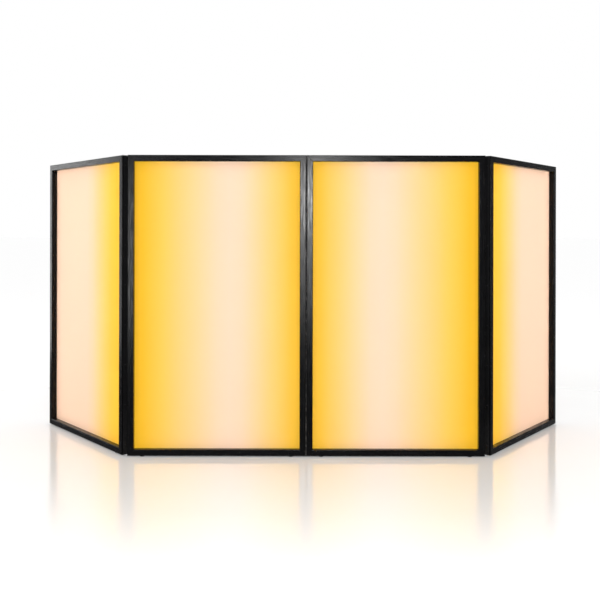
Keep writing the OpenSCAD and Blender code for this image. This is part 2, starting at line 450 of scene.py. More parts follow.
def copy_to(piece, name, place):
    """A copy of a piece with its own mesh, carried to its place."""
    select_only(piece)
    bpy.ops.object.duplicate()
    twin = bpy.context.object
    twin.matrix_world = place
    return settle(twin, name)


def discard(*pieces):
    select_only(*pieces)
    bpy.ops.object.delete()


def cut_away(piece, cutter):
    """Takes a cutter's shape out of a piece."""
    apply_modifier(piece, "BOOLEAN", operation="DIFFERENCE", solver="EXACT", object=cutter)
    discard(cutter)


def cut_cross(head, axis, start, end, long, thin):
    """Cuts a cross of two bars into a head, from start to end along its axis, 0 for X and 1 for Y."""
    for sides in ((long, thin), (thin, long)):
        low = [-side / 2 for side in sides]
        high = [side / 2 for side in sides]
        low.insert(axis, start)
        high.insert(axis, end)
        cut_away(head, block("recess_bar", low, high))


def seat_copies(pattern, seats, place, kept, name):
    """Copies of a pattern on the middles of their solids' boxes, joined as one piece.

    Kept holds a 1 for each axis along which a copy moves to its seat, and a 0 for the pattern's own axis.
    """
    copies = []
    for low, high in seats:
        seat = Matrix.Translation(Vector(kept) * (low + high) / 2)
        copies.append(copy_to(pattern, "copy", place @ seat))
    return join(copies, name)


def panel_box(node):
    """The lowest and the highest corner of one of a panel's nodes, in panel coordinates."""
    carry = PLACES["right_middle"].inverted()
    return [carry @ Vector(corner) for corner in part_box("right_middle_" + node)]


def solids_of(node, place):
    """The boxes of a CAD node's separate solids, in the coordinates that place carries from."""
    select_only(frame["nodes"][node])
    bpy.ops.object.duplicate()
    twin = bpy.context.object
    twin.parent = None
    twin.matrix_world = place.inverted()
    bpy.ops.object.transform_apply(location=True, rotation=True, scale=True)
    bpy.ops.object.mode_set(mode="EDIT")
    bpy.ops.mesh.select_all(action="SELECT")
    bpy.ops.mesh.remove_doubles(threshold=1e-6)
    bpy.ops.mesh.separate(type="LOOSE")
    leave_edit()
    found = list(bpy.context.selected_objects)
    boxes = []
    for solid in found:
        points = [vertex.co for vertex in solid.data.vertices]
        low = Vector([min(point[axis] for point in points) for axis in range(3)])
        high = Vector([max(point[axis] for point in points) for axis in range(3)])
        boxes.append((low, high))
    discard(*found)
    return boxes


def hard_pieces():
    """The collection that the strip lamps light: the floor and every piece but the sheets."""
    return bpy.data.collections.get("hard_pieces") or bpy.data.collections.new("hard_pieces")


def hand_over(piece, body, node, material):
    """Gives a finished piece its body, the CAD node that it stands for and its material."""
    if node != body + "_sheet":
        hard_pieces().objects.link(piece)
    piece.data.materials.clear()
    piece.data.materials.append(material)
    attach(piece, body)
    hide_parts(node)


# ---- materials ----


def put(tree, socket, value):
    """Links another node's output to a socket, or sets the socket to a fixed value."""
    if isinstance(value, bpy.types.NodeSocket):
        tree.links.new(value, socket)
    else:
        socket.default_value = value


def feed(tree, node, **inputs):
    """Puts a value or an output into each input, named with underscores for the spaces in its name."""
    for name, value in inputs.items():
        put(tree, node.inputs[name.replace("_", " ")], value)


def add(tree, kind, choices=None, **inputs):
    """Adds a node, makes its own choices and feeds its inputs."""
    node = tree.nodes.new(kind)
    for name, choice in (choices or {}).items():
        setattr(node, name, choice)
    feed(tree, node, **inputs)
    return node


def calculate(tree, operation, *values):
    """The outcome of a step of arithmetic."""
    node = add(tree, "ShaderNodeMath", {"operation": operation})
    for socket, value in zip(node.inputs, values):
        put(tree, socket, value)
    return node.outputs[0]


def multiply_vectors(tree, first, second):
    node = add(tree, "ShaderNodeVectorMath", {"operation": "MULTIPLY"})
    put(tree, node.inputs[0], first)
    put(tree, node.inputs[1], second)
    return node.outputs[0]


def weighted_length(tree, vector, weights):
    """How long a vector is once its three parts are weighted."""
    weighted = multiply_vectors(tree, vector, weights)
    return add(tree, "ShaderNodeVectorMath", {"operation": "LENGTH"}, Vector=weighted).outputs["Value"]


def part_of(tree, vector, axis):
    return add(tree, "ShaderNodeSeparateXYZ", Vector=vector).outputs[axis]


def remap(tree, value, start, end, low=0.0, high=1.0):
    """Carries a value that runs from start to end onto the range from low to high."""
    node = add(
        tree, "ShaderNodeMapRange", Value=value, From_Min=start, From_Max=end, To_Min=low, To_Max=high
    )
    return node.outputs["Result"]


def blend(tree, factor, first, second):
    """A number between two, each fixed or another node's output."""
    node = add(tree, "ShaderNodeMix", {"data_type": "FLOAT"}, Factor=factor)
    put(tree, node.inputs[2], first)
    put(tree, node.inputs[3], second)
    return node.outputs[0]


def blend_colours(tree, factor, first, second):
    """A colour between two, each fixed or another node's output."""
    node = add(tree, "ShaderNodeMix", {"data_type": "RGBA"}, Factor=factor)
    for socket, tone in ((node.inputs[6], first), (node.inputs[7], second)):
        put(tree, socket, tone if isinstance(tone, bpy.types.NodeSocket) else (*tone, 1.0))
    return node.outputs[2]


def object_place(tree):
    return tree.nodes.new("ShaderNodeTexCoord").outputs["Object"]


def mesh_attribute(tree, name, output):
    """What a piece's mesh carries under a name."""
    return add(tree, "ShaderNodeAttribute", {"attribute_name": name}).outputs[output]


def noise(tree, place, scale, detail, roughness):
    """Cloudy noise over a place, mostly between 0.3 and 0.7."""
    node = add(
        tree, "ShaderNodeTexNoise", Vector=place, Scale=scale, Detail=detail, Roughness=roughness
    )
    return node.outputs["Fac"]


def bumped(tree, height, strength, depth):
    """The normal of a surface that a height roughens, to a depth in metres."""
    return add(tree, "ShaderNodeBump", Height=height, Strength=strength, Distance=depth).outputs["Normal"]


def made_once(build):
    """Has a function's shader group, which bears the function's name, built on its first call only."""
    return lambda: bpy.data.node_groups.get(build.__name__) or build()


def new_group(name, inputs, outputs):
    """A shader group with number inputs and outputs, as (group, what it is given, its output node)."""
    group = bpy.data.node_groups.new(name, "ShaderNodeTree")
    for label, default in inputs.items():
        socket = group.interface.new_socket(label, in_out="INPUT", socket_type="NodeSocketFloat")
        socket.default_value = default
    for label in outputs:
        group.interface.new_socket(label, in_out="OUTPUT", socket_type="NodeSocketFloat")
    return group, group.nodes.new("NodeGroupInput").outputs, group.nodes.new("NodeGroupOutput")


def place_group(tree, group, **inputs):
    """Puts a shader group into a material, and gives its outputs."""
    node = add(tree, "ShaderNodeGroup", {"node_tree": group})
    feed(tree, node, **inputs)
    return node.outputs


@made_once
def surface_grain():
    """A group: fine orange peel as a height, and slow cloudy changes from 0 to 1 as a variation."""
    group, given, out = new_group("surface_grain", {"Peel": 300.0, "Cloud": 9.0}, ["Height", "Variation"])
    place = object_place(group)
    cloud = noise(group, place, given["Cloud"], 4.0, 0.6)
    feed(
        group,
        out,
        Height=noise(group, place, given["Peel"], 2.0, 0.5),
        Variation=remap(group, cloud, 0.3, 0.7),
    )
    return group


@made_once
def floor_dust():
    """A group: a mask of fine dust that settles on upward faces and low down near the floor."""
    group, given, out = new_group("floor_dust", {"Amount": 0.3, "Reach": 0.25}, ["Mask"])
    place = object_place(group)
    facing = group.nodes.new("ShaderNodeNewGeometry").outputs["Normal"]
    low = remap(group, part_of(group, place, "Z"), 0.0, given["Reach"], 1.0, 0.0)
    upward = remap(group, part_of(group, facing, "Z"), 0.6, 1.0)
    patchy = remap(group, noise(group, place, 120.0, 5.0, 0.7), 0.35, 0.75)
    mask = calculate(group, "MULTIPLY", calculate(group, "MAXIMUM", low, upward), patchy)
    feed(group, out, Mask=calculate(group, "MULTIPLY", mask, given["Amount"]))
    return group


@made_once
def edge_wear_and_highlight():
    """A group: a mask of rubbed paint, given how near an edge the point is, from 0 to 1; where its amount
    is high it paints a highlight along the edge.
    """
    group, given, out = new_group("edge_wear_and_highlight", {"Edge": 0.0, "Amount": 0.45, "Scale": 60.0}, ["Mask"])
    broken = noise(group, object_place(group), given["Scale"], 6.0, 0.65)
    bare = remap(group, calculate(group, "MULTIPLY", given["Edge"], broken), 0.5, 0.62)
    feed(group, out, Mask=calculate(group, "MULTIPLY", bare, given["Amount"]))
    return group


@made_once
def tube_edges():
    """A group: 1 on the rounded edges of a square tube, falling to 0 over its flats."""
    group, given, out = new_group("tube_edges", {"Reach": 2.5 * MM}, ["Edge"])
    grain = mesh_attribute(group, "grain", "Vector")
    aside = []
    for axis in ("Y", "Z"):
        centred = calculate(group, "SUBTRACT", part_of(group, grain, axis), TUBE / 2)
        aside.append(calculate(group, "ABSOLUTE", centred))
    start = calculate(group, "SUBTRACT", TUBE / 2, given["Reach"])
    feed(group, out, Edge=remap(group, calculate(group, "MINIMUM", *aside), start, TUBE / 2))
    return group


@made_once
def barrel_rub():
    """A group: 1 on a hinge's barrel, which rubs in use, and 0 on its plates."""
    group, given, out = new_group("barrel_rub", {"Radius": BARREL_R, "Within": 0.2 * MM}, ["Edge"])
    away = weighted_length(group, mesh_attribute(group, "grain", "Vector"), (0, 1, 1))
    feed(group, out, Edge=calculate(group, "COMPARE", away, given["Radius"], given["Within"]))
    return group


@made_once
def drawn_streaks():
    """A group: fine uneven streaks along a piece's length, from its own "grain" coordinates."""
    group, given, out = new_group("drawn_streaks", {"Length": 14.0, "Across": 190.0}, ["Streak"])
    across = given["Across"]
    stretch = add(group, "ShaderNodeCombineXYZ", X=given["Length"], Y=across, Z=across).outputs["Vector"]
    stretched = multiply_vectors(group, mesh_attribute(group, "grain", "Vector"), stretch)
    feed(group, out, Streak=remap(group, noise(group, stretched, 1.0, 4.0, 0.6), 0.3, 0.7))
    return group


def new_material(name):
    """A material with a bare Principled shader, as (material, tree, shader)."""
    material = bpy.data.materials.new(name)
    material.use_nodes = True
    tree = material.node_tree
    return material, tree, tree.nodes["Principled BSDF"]


def painted(name, settings, peel, depth, edges=None):
    """Black paint on steel, or black nylon: fine peel, drawn streaks, rubbed edges, which along the wings'
    folds are a painted highlight, and floor dust.
    """
    material, tree, shader = new_material(name)
    grain = place_group(tree, surface_grain(), Peel=peel, Cloud=14.0)
    streak = place_group(tree, drawn_streaks())["Streak"]
    dust = place_group(tree, floor_dust(), Amount=settings.dust, Reach=0.18)["Mask"]
    paler = [min(1.0, 1.8 * level) for level in settings.black]
    body = blend_colours(tree, grain["Variation"], settings.black, paler)
    # Lighter edges: rubbed paint, made strong along the wings' folds as a painted highlight.
    if edges:
        edge = place_group(tree, edges)["Edge"]
        amount = mesh_attribute(tree, "wear_and_highlight", "Fac")
        wear_and_highlight_mask = place_group(tree, edge_wear_and_highlight(), Edge=edge, Amount=amount)["Mask"]
        body = blend_colours(tree, wear_and_highlight_mask, body, WORN_AND_HIGHLIGHT_TONE)
    sheen = remap(tree, streak, 0.0, 1.0, settings.roughness - 0.07, settings.roughness + 0.13)
    feed(
        tree,
        shader,
        Base_Color=blend_colours(tree, dust, body, DUST_TONE),
        Roughness=calculate(tree, "MULTIPLY_ADD", dust, 0.5, sheen),
        Specular_IOR_Level=0.15,
        Normal=bumped(tree, grain["Height"], 0.35, depth),
    )
    return material


def metal(name, steel, roughness, streaks):
    """Plated or drawn steel with fine streaks of roughness."""
    material, tree, shader = new_material(name)
    grain = place_group(tree, surface_grain(), Peel=streaks, Cloud=60.0)
    darker = [0.6 * level for level in steel]
    feed(
        tree,
        shader,
        Base_Color=blend_colours(tree, grain["Variation"], darker, steel),
        Metallic=1.0,
        Roughness=remap(tree, grain["Height"], 0.0, 1.0, roughness - 0.08, roughness + 0.12),
        Normal=bumped(tree, grain["Height"], 0.2, 0.05 * MM),
    )
    return material


def tinted(name, stops, settings):
    """Taut amber sheet: its colour runs from amber to a pale painted highlight across the panel's width,
    light washing over the sheet painted into its colour.
    """
    material, tree, shader = new_material(name)
    across = add(tree, "ShaderNodeUVMap", {"uv_map": "across"}).outputs["UV"]
    ramp = add(tree, "ShaderNodeValToRGB", Fac=part_of(tree, across, "X"))
    elements = ramp.color_ramp.elements
    while len(elements) < len(stops):
        elements.new(0.5)
    for element, (position, painted_highlight) in zip(elements, stops):
        element.position = position
        element.color = (*tint(settings, painted_highlight), 1.0)
    grain = place_group(tree, surface_grain(), Peel=900.0, Cloud=5.0)
    cloud = grain["Variation"]
    varied = add(
        tree,
        "ShaderNodeVectorMath",
        {"operation": "SCALE"},
        Vector=ramp.outputs["Color"],
        Scale=remap(tree, cloud, 0.0, 1.0, 0.985, 1.0),
    )
    feed(
        tree,
        shader,
        Base_Color=varied.outputs[0],
        Roughness=remap(tree, cloud, 0.0, 1.0, settings.roughness - 0.05, settings.roughness + 0.07),
        Normal=bumped(tree, grain["Height"], 0.15, 0.06 * MM),
        IOR=1.2,
        Specular_IOR_Level=0.2,
        Transmission_Weight=settings.clear,
    )
    return material


def tint(settings, painted_highlight):
    """The sheet's colour with a painted highlight from 0, bare amber, to 1, the palest, mixed as the eye
    sees it.
    """
    mixed = []
    for deep, pale in zip(settings.amber, settings.cream):
        mixed.append(linear(display(deep) + painted_highlight * (display(pale) - display(deep))))
    return mixed


def mark_grain(piece, along):
    """Gives a piece the grain coordinates that its paint reads, with its length first."""
    mesh = piece.data
    mesh.attributes.new("grain", "FLOAT_VECTOR", "POINT")
    points = [vertex.co.copy() for vertex in mesh.vertices]
    for value, point in zip(mesh.attributes["grain"].data, points):
        value.vector = along(point)


# ---- frame tubes ----


def model_tube(name, long, settings):
    """A mitred square tube along +X whose longer side is at z 0, closed in on itself at the mitres."""
    tube = block(name, (0, 0, 0), (long, TUBE, TUBE))
    choose(tube, "FACE", lambda *points: any(all(near(p.x, end) for p in points) for end in (0, long)))
    bpy.ops.mesh.delete(type="FACE")
    leave_edit()
    for end, inwards in ((0, 1), (long, -1)):
        choose(tube, "VERT", lambda p, end=end: near(p.x, end) and near(p.z, TUBE))
        bpy.ops.transform.translate(value=(inwards * TUBE, 0, 0))
        leave_edit()
    round_edges(tube, settings.corner, 5, lambda a, b: abs(a.x - b.x) > long / 2)
    for end, inwards in ((0, 1), (long, -1)):
        cut_groove(tube, end, inwards, settings.groove)
    apply_modifier(tube, "SOLIDIFY", thickness=settings.wall - settings.groove, offset=-1.0, use_rim=True)
    face_outwards(tube)
    smooth(tube)
    mark_grain(tube, lambda p: p)
    return tube


def make_unlike(piece, steps, wear_and_highlight):
    """Moves a copy's grain along, so that no two copies show the same marks, and says how much lighter its
    edges are: rubbed paint, and along the wings' folds a painted highlight.
    """
    for value in piece.data.attributes["grain"].data:
        value.vector = Vector(value.vector) + Vector((GRAIN_STEP * steps, 0, 0))
    piece.data.attributes.new("wear_and_highlight", "FLOAT", "POINT")
    for value in piece.data.attributes["wear_and_highlight"].data:
        value.value = wear_and_highlight


def cut_groove(tube, end, inwards, width):
    """Turns a tube's open end inwards, so that two tubes leave a groove along their mitre."""
    centre = Vector((end + inwards * TUBE / 2, TUBE / 2, TUBE / 2))
    choose(tube, "VERT", lambda p: abs(p.x - end) < TUBE + width)
    bpy.ops.transform.translate(value=(inwards * width, 0, 0))
    leave_edit()
    choose(tube, "EDGE", lambda a, b: on_mitre(a, end, inwards, width) and on_mitre(b, end, inwards, width))
    narrower = 1 - 2 * width / TUBE
    bpy.ops.mesh.extrude_edges_move(TRANSFORM_OT_translate={"value": (-inwards * width, 0, 0)})
    bpy.ops.transform.resize(value=(narrower, narrower, narrower), center_override=centre)
    leave_edit()


def on_mitre(point, end, inwards, width):
    return near((point.x - end) * inwards - width, point.z, 1e-5)


def tube_places(long_rail, long_stile):
    """Where each of a frame's four tubes goes in panel coordinates, by its name's ending."""
    upright = Matrix.Rotation(-math.pi / 2, 4, "Y")
    return {
        "bottom_rail": Matrix(),
        "top_rail": Matrix.Translation((long_rail, 0, long_stile)) @ half_turn("Y"),
        "right": Matrix.Translation((long_rail, 0, 0)) @ upright,
        "left": Matrix.Translation((0, 0, long_stile)) @ Matrix.Rotation(math.pi / 2, 4, "Y"),
    }


def side_name(panel, side):
    """inner or outer, for a panel's left or right side."""
    return "inner" if (side == "left") == panel.startswith("right") else "outer"


class WELDSCREEN_OT_frame_tubes(bpy.types.Operator):
    """Models the sixteen mitred frame tubes"""

    bl_idname = "weldscreen.frame_tubes"
    bl_label = "Frame tubes"

    def execute(self, context):
        settings = context.scene.screen_tubes
        material = painted(
            "powder_coat_black", settings, peel=260.0, depth=0.12 * MM, edges=tube_edges()
        )
        rail = model_tube("rail_pattern", PANEL_W, settings)
        stile = model_tube("stile_pattern", FRAME_H, settings)
        for panel in PANELS:
            for ending, place in tube_places(PANEL_W, FRAME_H).items():
                pattern = rail if ending.endswith("rail") else stile
                if ending in ("left", "right"):
                    ending = side_name(panel, ending) + "_stile"
                node = f"{panel}_{ending}"
                tube = copy_to(pattern, node + "_tube", PLACES[panel] @ place)
                # A wing's folding stile gets strongly lighter edges: a painted highlight along the fold, on
                # top of the wear.
                has_fold_highlight = panel in WINGS and ending == "inner_stile"
                wear_and_highlight = settings.handled if has_fold_highlight else settings.rubbed
                make_unlike(tube, len(bpy.data.objects), wear_and_highlight)
                hand_over(tube, panel, node, material)
        discard(rail, stile)
        return {"FINISHED"}


# ---- tinted sheets ----

# Painted highlight from 0, bare amber, to 1, the palest, against the distance from a panel's inner edge to
# its outer edge: the pale band is light on the sheet painted into its colour.
MIDDLE_PAINTED_HIGHLIGHT = [(0.0, 0.05), (0.08, 0.19), (0.2, 0.59), (0.28, 0.81), (0.36, 0.97), (0.43, 1.0),
               (0.5, 0.96), (0.64, 0.73), (0.8, 0.36), (0.92, 0.05), (1.0, 0.0)]
WING_PAINTED_HIGHLIGHT = [(0.0, 0.05), (0.14, 0.16), (0.2, 0.26), (0.28, 0.51), (0.36, 0.72), (0.44, 0.91),
             (0.52, 1.0), (1.0, 1.0)]


def slack(across, along, wide, high, settings):
    """How far a taut sheet lies behind its clamped edge, at a point measured from its lower left."""
    window = TUBE - (PANEL_W - wide) / 2
    inside = min(across, wide - across, along, high - along) - window
    if inside <= 0:
        return 0.0
    free = 1 - math.exp(-inside / settings.reach)
    bow = settings.billow * math.sin(math.pi * across / wide) * math.sin(math.pi * along / high)
    ripple = 0.0
    for distance, run, span, ripples in (
        (across - window, along, high, settings.ripples_up),
        (wide - across - window, along, high, settings.ripples_up),
        (along - window, across, wide, settings.ripples_across),
        (high - along - window, across, wide, settings.ripples_across),
    ):
        wave = math.cos(2 * math.pi * ripples * run / span)
        ripple += settings.pucker * wave * math.exp(-distance / settings.reach)
    fading = math.exp(-inside / settings.reach) * min(1.0, inside / (0.2 * settings.reach))
    return free * bow + ripple * fading


def model_sheet(settings):
    """A taut sheet in panel coordinates, clamped flat behind the tubes, with its front at their rear."""
    low, high = panel_box("sheet")
    wide, tall, thick = high.x - low.x, high.z - low.z, high.y - low.y
    select_only()
    bpy.ops.mesh.primitive_grid_add(
        x_subdivisions=settings.cells_across,
        y_subdivisions=settings.cells_up,
        size=1,
        location=((low.x + high.x) / 2, low.y, (low.z + high.z) / 2),
        rotation=(math.pi / 2, 0, 0),
    )
    bpy.context.object.scale = (wide, tall, 1)
    sheet = settle(bpy.context.object, "sheet_pattern")
    layer = sheet.data.uv_layers.active or sheet.data.uv_layers.new()
    layer.name = "across"
    for loop in sheet.data.loops:
        point = sheet.data.vertices[loop.vertex_index].co
        layer.data[loop.index].uv = (point.x / PANEL_W, point.z / FRAME_H)
    for vertex in sheet.data.vertices:
        vertex.co.y += slack(vertex.co.x - low.x, vertex.co.z - low.z, wide, tall, settings)
    apply_modifier(sheet, "SOLIDIFY", thickness=thick, offset=-1.0, use_rim=True)
    smooth(sheet)
    return sheet, (wide, tall)


class WELDSCREEN_OT_tinted_sheets(bpy.types.Operator):
    """Models the four taut tinted sheets"""

    bl_idname = "weldscreen.tinted_sheets"
    bl_label = "Tinted sheets"

    def execute(self, context):
        settings = context.scene.screen_sheets
        materials = {
            "middle": tinted("tinted_sheet_middle", MIDDLE_PAINTED_HIGHLIGHT, settings),
            "wing": tinted("tinted_sheet_wing", WING_PAINTED_HIGHLIGHT, settings),
        }
        pattern, flat = model_sheet(settings)
        for panel in PANELS:
            sheet = copy_to(pattern, panel + "_film", PLACES[panel])
            if panel.startswith("left"):
                for loop in sheet.data.uv_layers["across"].data:
                    loop.uv.x = 1 - loop.uv.x
            hand_over(sheet, panel, panel + "_sheet", materials[panel.split("_")[1]])
        discard(pattern)
        return {"FINISHED"}


# ---- clamp strips and their screws ----


def model_strip(name, low, high, settings):
    strip = block(name, low, high)
    round_edges(strip, settings.edge, 2, lambda a, b: True)
    smooth(strip)
    lengthways = high.x - low.x > high.z - low.z
    mark_grain(strip, lambda p: p if lengthways else p.zxy)
    return strip


class WELDSCREEN_OT_clamp_strips(bpy.types.Operator):
    """Models the sixteen flat bars that clamp the sheets"""

    bl_idname = "weldscreen.clamp_strips"
    bl_label = "Clamp strips"

    def execute(self, context):
        settings = context.scene.screen_strips
        material = painted("bar_coat_black", settings, peel=300.0, depth=0.08 * MM)
        for ending in ("top", "bottom", "inner", "outer"):
            pattern = model_strip("strip_pattern", *panel_box(ending + "_strip"), settings)
            for panel in PANELS:
                other = {"inner": "outer", "outer": "inner"}.get(ending, ending)
                place = ending if panel.startswith("right") else other
                node = f"{panel}_{place}_strip"
                strip = copy_to(pattern, node.replace("strip", "bar"), PLACES[panel])
                hand_over(strip, panel, node, material)
            discard(pattern)
        return {"FINISHED"}


def model_strip_screw(low, high, head_h, settings):
    """A low-head screw that faces +Y, from the box of its CAD solid, its axis through the origin."""
    top, under = high.y, high.y - head_h
    dome = 0.55 * head_h
    head = rod("screw_head", (high.x - low.x) / 2, (0, under, 0), (0, top, 0), sides=28)
    round_edges(head, dome, 3, both_at("y", top))
    cut_cross(head, 1, top - settings.recess_d, top + MM, settings.recess_w, settings.recess_t)
    shank = rod("screw_shank", settings.shank_r, (0, low.y, 0), (0, under + OVERLAP, 0), sides=12)
    round_edges(shank, settings.point, 1, both_at("y", low.y))
    screw = join([head, shank], "strip_screw_pattern")
    smooth(screw, 35)
    return screw


class WELDSCREEN_OT_strip_screws(bpy.types.Operator):
    """Models the screws that hold the clamp strips"""

    bl_idname = "weldscreen.strip_screws"
    bl_label = "Strip screws"

    def execute(self, context):
        settings = context.scene.screen_screws
        material = metal("plated_screw_steel", settings.steel, roughness=0.34, streaks=1400.0)
        seats = solids_of("right_middle_strip_screws", PLACES["right_middle"])
        strip_back = panel_box("top_strip")[1].y
        low, high = seats[0]
        pattern = model_strip_screw(low, high, high.y - strip_back, settings)
        for panel in PANELS:
            screws = seat_copies(pattern, seats, PLACES[panel], (1, 0, 1), panel + "_pan_screws")
            hand_over(screws, panel, panel + "_strip_screws", material)
        discard(pattern)
        return {"FINISHED"}


# ---- hinges ----


def model_leaf(name, carries_ends, settings):
    """A hinge leaf in hinge coordinates: a plate with every second knuckle rolled onto its edge."""
    pitch = HINGE_LEN / settings.knuckles
    thick = BARREL_R - PIN_R - settings.bore
    inner = HALF_GAP - thick
    edge = -BARREL_R - settings.clearance
    plate = block("plate", (inner, -LEAF_W, 0), (HALF_GAP, edge, HINGE_LEN))
    round_edges(plate, settings.plate_edge, 2, lambda a, b: True)
    knuckle = model_knuckle(inner, edge, pitch - settings.knuckle_gap, settings)
    pieces = [plate]
    for k in range(0 if carries_ends else 1, settings.knuckles, 2):
        lift = Matrix.Translation((0, 0, k * pitch + settings.knuckle_gap / 2))
        pieces.append(copy_to(knuckle, "knuckle", lift))
    discard(knuckle)
    leaf = join(pieces, name)
    smooth(leaf, 35)
    mark_grain(leaf, lambda p: (p.z, p.x, p.y))
    return leaf


def model_knuckle(inner, edge, tall, settings):
    """One rolled knuckle with its bore, and the tab that joins it to the plate."""
    barrel = rod("barrel", BARREL_R, (0, 0, 0), (0, 0, tall), sides=28)
    round_edges(barrel, settings.knuckle_edge, 2, lambda a, b: near(a.z, b.z))
    cut_away(barrel, rod("bore", PIN_R + settings.bore, (0, 0, -MM), (0, 0, tall + MM), sides=28))
    tab = block("tab", (inner, edge - MM, 0), (HALF_GAP, -PIN_R - settings.bore, tall))
    return join([barrel, tab], "knuckle_pattern")


def model_pin(settings):
    """A hinge pin in hinge coordinates, with rounded ends."""
    low, high = (Vector(c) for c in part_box("centre_hinge_pin"))
    start, end = low.z - HINGE_LOW, high.z - HINGE_LOW
    pin = rod("pin_pattern", PIN_R, (0, 0, start), (0, 0, end), sides=24)
    round_edges(pin, settings.pin_edge, 3, lambda a, b: near(a.z, b.z))
    smooth(pin, 50)
    return pin


class WELDSCREEN_OT_hinges(bpy.types.Operator):
    """Models the leaves and pins of the three continuous hinges"""

    bl_idname = "weldscreen.hinges"
    bl_label = "Hinges"

    def execute(self, context):
        settings = context.scene.screen_hinges
        material = painted(
            "blackened_hinge", settings, peel=420.0, depth=0.04 * MM, edges=barrel_rub()
        )
        wire = metal("drawn_wire", WIRE_TONE, roughness=0.28, streaks=900.0)
        patterns = {ends: model_leaf("leaf_pattern", ends, settings) for ends in (True, False)}
        for node, (body, place, ends) in LEAVES.items():
            leaf = copy_to(patterns[ends], node + "_rolled", place)
            make_unlike(leaf, len(bpy.data.objects), settings.rubbed)
            hand_over(leaf, body, node, material)
        pattern = model_pin(settings)
        for node, (body, joint) in PINS.items():
            pin = copy_to(pattern, node + "_wire", hinge_place(joint, Matrix()))
            hand_over(pin, body, node, wire)
        discard(pattern, *patterns.values())
        return {"FINISHED"}


def model_hinge_screw(low, high, settings):
    """A countersunk screw in hinge coordinates, its head flush with the leaf and facing -X."""
    leaf_t = HALF_GAP - low.x
    head_r = (high.z - low.z) / 2
    shank_r = head_r - leaf_t
    select_only()
    bpy.ops.mesh.primitive_cone_add(
        vertices=24,
        radius1=head_r,
        radius2=shank_r,
        depth=leaf_t,
        location=(low.x + leaf_t / 2, 0, 0),
        rotation=(0, math.pi / 2, 0),
    )
    head = settle(bpy.context.object, "screw_head")
    round_edges(head, settings.rim, 2, both_at("x", low.x, 1e-5))
    cut_cross(head, 0, low.x - MM, low.x + settings.small_d, settings.small_w, settings.small_t)
    shank = rod("screw_shank", shank_r, (low.x + leaf_t - OVERLAP, 0, 0), (high.x, 0, 0), sides=12)
    screw = join([head, shank], "hinge_screw_pattern")
    smooth(screw, 35)
    return screw


class WELDSCREEN_OT_hinge_screws(bpy.types.Operator):
    """Models the countersunk screws of the hinge leaves"""

    bl_idname = "weldscreen.hinge_screws"
    bl_label = "Hinge screws"

    def execute(self, context):
        settings = context.scene.screen_screws
        darker = [0.45 * level for level in settings.steel]
        material = metal("hinge_screw_steel", darker, roughness=0.36, streaks=1600.0)
        pattern = None
        for leaf, (body, place, _) in LEAVES.items():
            node = leaf.replace("_leaf", "_screws")
            seats = solids_of(node, place)
            pattern = pattern or model_hinge_screw(*seats[0], settings)
            screws = seat_copies(pattern, seats, place, (0, 1, 1), node + "_flush")
            hand_over(screws, body, node, material)
        discard(pattern)
        return {"FINISHED"}


# ---- glides ----


def model_glide(low, high, settings):
    """A push-in glide in panel coordinates, its axis through the origin, from its CAD solid's box."""
    foot_r = (high.x - low.x) / 2
    foot = rod("glide_foot", foot_r, (0, 0, low.z), (0, 0, 0), sides=40)
    round_edges(foot, settings.edge, 3, both_at("z", low.z))
    round_edges(foot, settings.upper_edge, 1, both_at("z", 0))
    stem = rod("glide_stem", settings.stem_r, (0, 0, -OVERLAP), (0, 0, high.z), sides=20)
    round_edges(stem, settings.stem_edge, 2, both_at("z", high.z))
    glide = join([foot, stem], "glide_pattern")
    smooth(glide, 35)
    mark_grain(glide, lambda p: p.zxy)
    return glide


class WELDSCREEN_OT_glides(bpy.types.Operator):
    """Models the push-in glides under the frames"""

    bl_idname = "weldscreen.glides"
    bl_label = "Glides"

    def execute(self, context):
        settings = context.scene.screen_glides
        material = painted("glide_nylon", settings, peel=700.0, depth=0.03 * MM)
        seats = solids_of("right_middle_feet", PLACES["right_middle"])
        pattern = model_glide(*seats[0], settings)
        for panel in PANELS:
            glides = seat_copies(pattern, seats, PLACES[panel], (1, 1, 0), panel + "_glides")
            hand_over(glides, panel, panel + "_feet", material)
        discard(pattern)
        return {"FINISHED"}


# ---- stage ----


def add_softbox(name, place, target, wide, tall, watts):
    """A soft rectangular light at a place, facing a target."""
    light = bpy.data.lights.new(name, "AREA")
    light.shape = "RECTANGLE"
    light.size = wide
    light.size_y = tall
    light.energy = watts
    lamp = bpy.data.objects.new(name, light)
    bpy.context.scene.collection.objects.link(lamp)
    lamp.location = place
    lamp.rotation_euler = (Vector(target) - Vector(place)).to_track_quat("-Z", "Y").to_euler()
    lamp.visible_transmission = False
    return lamp


def polished_floor(settings):
    """A white floor whose polish fades away from the screen's feet."""
    material, tree, shader = new_material("polished_floor")
    grain = place_group(tree, surface_grain(), Peel=40.0, Cloud=3.0)
    far = weighted_length(tree, object_place(tree), (0.5, 1.0, 0.0))
    duller = [0.99 * level for level in settings.floor_near]
    near_white = blend_colours(tree, grain["Variation"], duller, settings.floor_near)
    feed(
        tree,
        shader,
        Base_Color=blend_colours(tree, remap(tree, far, 1.0, 3.5), near_white, settings.floor_far),
        Roughness=remap(tree, far, settings.mirror, settings.polished, 0.09, 0.3),
        Specular_IOR_Level=remap(tree, far, settings.mirror, settings.polished, 0.5, 0.0),
        IOR=2.6,
    )
    return material


